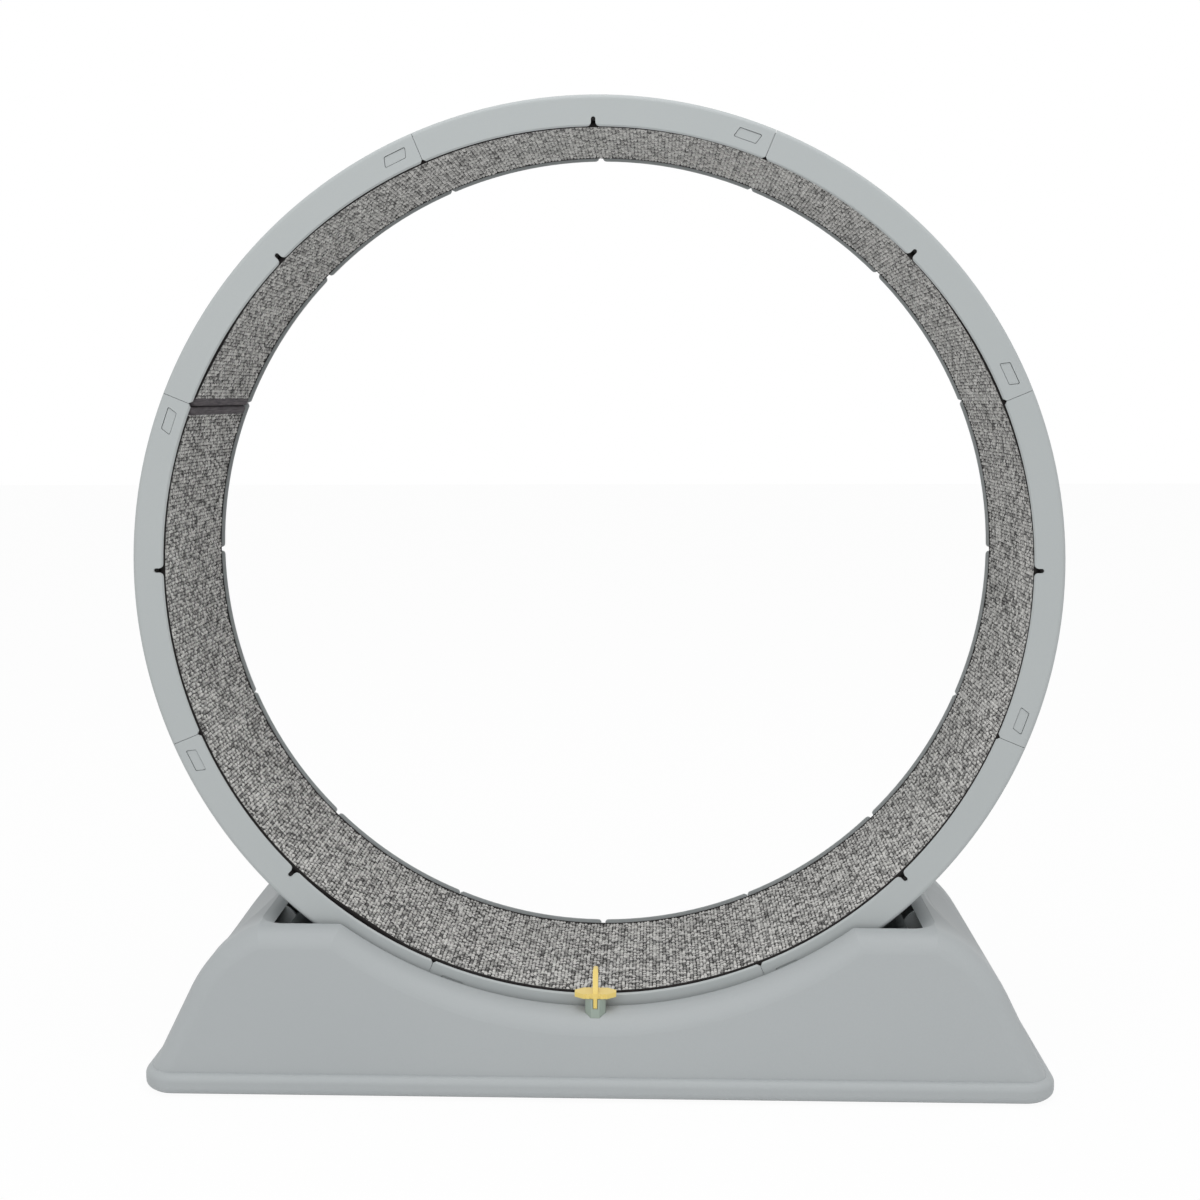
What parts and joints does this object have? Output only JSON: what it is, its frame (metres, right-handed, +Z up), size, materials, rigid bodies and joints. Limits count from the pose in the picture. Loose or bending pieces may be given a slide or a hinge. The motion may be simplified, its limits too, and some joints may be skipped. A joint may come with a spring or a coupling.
{
  "type": "cat exercise wheel",
  "caption": "Large running wheel for a cat: a carpeted eight-part plastic rim that turns on rollers in a low moulded stand, with a sliding lock key.",
  "frame": {"origin": "on the floor under the middle of the wheel, halfway through the wheel's width", "axes": "+X to the right as seen from the lock's side, +Y away from the lock's side along the wheel's axis, +Z up"},
  "size_m": [1, 0.35, 1.068],
  "materials": {
    "rim_plastic": "fine moulded grey plastic",
    "stand_plastic": "fine moulded grey plastic",
    "base_plastic": "flat grey plastic",
    "screw_steel": "zinc plated",
    "foot_rubber": "matt",
    "guide_plastic": "satin moulded grey plastic",
    "key_plastic": "satin moulded yellow plastic",
    "bracket_steel": "zinc plated",
    "clip_steel": "blackened spring steel",
    "sleeve_plastic": "black moulded plastic",
    "axle_steel": "ground",
    "hub_plastic": "dark moulded plastic",
    "tyre_rubber": "matt",
    "bearing_steel": "ground",
    "backing": "matt black backing",
    "carpet": "heather grey loop pile",
    "binding": "woven dark grey binding"
  },
  "bodies": {
    "stand": {"stand_shell": "stand_plastic", "base_plate": "base_plastic", "base_screws": "screw_steel", "rubber_feet": "foot_rubber", "lock_guide": "guide_plastic", "roller_bracket_left": "bracket_steel", "bracket_screws_left": "screw_steel", "axle_left": "axle_steel", "axle_clips_left": "clip_steel", "axle_sleeves_left": "sleeve_plastic", "roller_bracket_right": "bracket_steel", "bracket_screws_right": "screw_steel", "axle_right": "axle_steel", "axle_clips_right": "clip_steel", "axle_sleeves_right": "sleeve_plastic"},
    "wheel": {"rim_segment_1": "rim_plastic", "rim_segment_2": "rim_plastic", "rim_segment_3": "rim_plastic", "rim_segment_4": "rim_plastic", "rim_segment_5": "rim_plastic", "rim_segment_6": "rim_plastic", "rim_segment_7": "rim_plastic", "rim_segment_8": "rim_plastic", "track_backing": "backing", "track_carpet": "carpet", "carpet_end_bindings": "binding"},
    "roller_left_front": {"roller_hub_left_front": "hub_plastic", "roller_tyre_left_front": "tyre_rubber", "roller_bearings_left_front": "bearing_steel"},
    "roller_left_rear": {"roller_hub_left_rear": "hub_plastic", "roller_tyre_left_rear": "tyre_rubber", "roller_bearings_left_rear": "bearing_steel"},
    "roller_right_front": {"roller_hub_right_front": "hub_plastic", "roller_tyre_right_front": "tyre_rubber", "roller_bearings_right_front": "bearing_steel"},
    "roller_right_rear": {"roller_hub_right_rear": "hub_plastic", "roller_tyre_right_rear": "tyre_rubber", "roller_bearings_right_rear": "bearing_steel"},
    "lock": {"lock_key": "key_plastic"}
  },
  "joints": [
    {"name": "wheel_spin", "type": "hinge", "parent": "stand", "child": "wheel", "pos_m": [0, 0, 0.568], "axis": [0, 1, 0], "continuous": true},
    {"name": "roller_left_front_spin", "type": "hinge", "parent": "stand", "child": "roller_left_front", "pos_m": [-0.28555, 0, 0.12829], "axis": [0, 1, 0], "continuous": true},
    {"name": "roller_left_rear_spin", "type": "hinge", "parent": "stand", "child": "roller_left_rear", "pos_m": [-0.28555, 0, 0.12829], "axis": [0, 1, 0], "continuous": true},
    {"name": "roller_right_front_spin", "type": "hinge", "parent": "stand", "child": "roller_right_front", "pos_m": [0.28555, 0, 0.12829], "axis": [0, 1, 0], "continuous": true},
    {"name": "roller_right_rear_spin", "type": "hinge", "parent": "stand", "child": "roller_right_rear", "pos_m": [0.28555, 0, 0.12829], "axis": [0, 1, 0], "continuous": true},
    {"name": "lock_slide", "type": "slide", "parent": "stand", "child": "lock", "axis": [0, 1, 0], "range_m": [0, 0.0055]}
  ],
  "couplings": [
    {"joint": "roller_left_front_spin", "follows": "wheel_spin", "ratio": -20.833},
    {"joint": "roller_left_rear_spin", "follows": "wheel_spin", "ratio": -20.833},
    {"joint": "roller_right_front_spin", "follows": "wheel_spin", "ratio": -20.833},
    {"joint": "roller_right_rear_spin", "follows": "wheel_spin", "ratio": -20.833}
  ]
}
